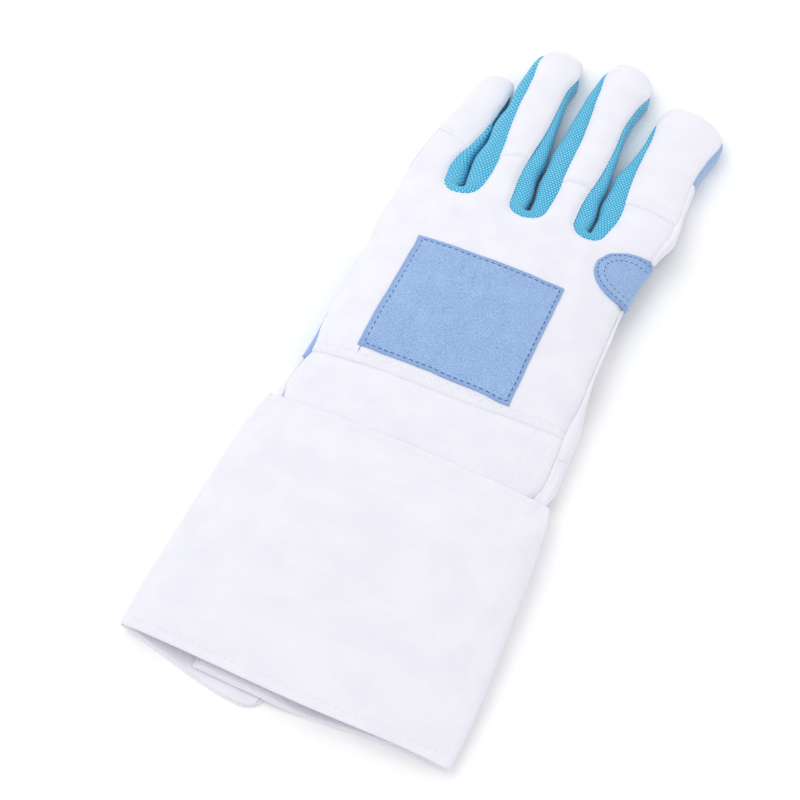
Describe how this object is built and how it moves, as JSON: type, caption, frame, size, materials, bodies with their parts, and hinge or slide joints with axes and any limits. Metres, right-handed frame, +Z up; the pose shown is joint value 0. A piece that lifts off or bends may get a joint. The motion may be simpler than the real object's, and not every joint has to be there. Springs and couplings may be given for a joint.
{
  "type": "fencing glove",
  "caption": "White padded fencing glove with a long flared gauntlet, blue mesh between the fingers, a blue suede palm and a suede patch on the back, lying palm down.",
  "frame": {"origin": "the middle of the whole glove, on the surface that it lies on", "axes": "+X across the glove towards the index finger, +Y along it from the cuff to the fingertips, +Z up out of the back of the hand"},
  "size_m": [0.1458, 0.3798, 0.0263],
  "materials": {
    "white_cloth": "matt woven cloth, padded on the back of the hand",
    "blue_mesh": "sky-blue knitted mesh with a fine grid of lighter dots",
    "blue_suede": "light blue speckled suede"
  },
  "bodies": {
    "root": {"cuff": "white_cloth", "wrist_band": "white_cloth", "wrist_underside": "white_cloth", "back_panel": "white_cloth", "little_back": "white_cloth", "ring_back": "white_cloth", "middle_back": "white_cloth", "index_back": "white_cloth", "little_side": "white_cloth", "thumb_side": "white_cloth", "index_side": "white_cloth", "thumb_back": "white_cloth", "fourchette_little_ring": "blue_mesh", "fourchette_ring_middle": "blue_mesh", "fourchette_middle_index": "blue_mesh", "palm": "blue_suede", "index_tip_side": "blue_suede", "thumb_front": "blue_suede", "back_patch": "blue_suede", "crotch_patch": "blue_suede"}
  },
  "joints": []
}
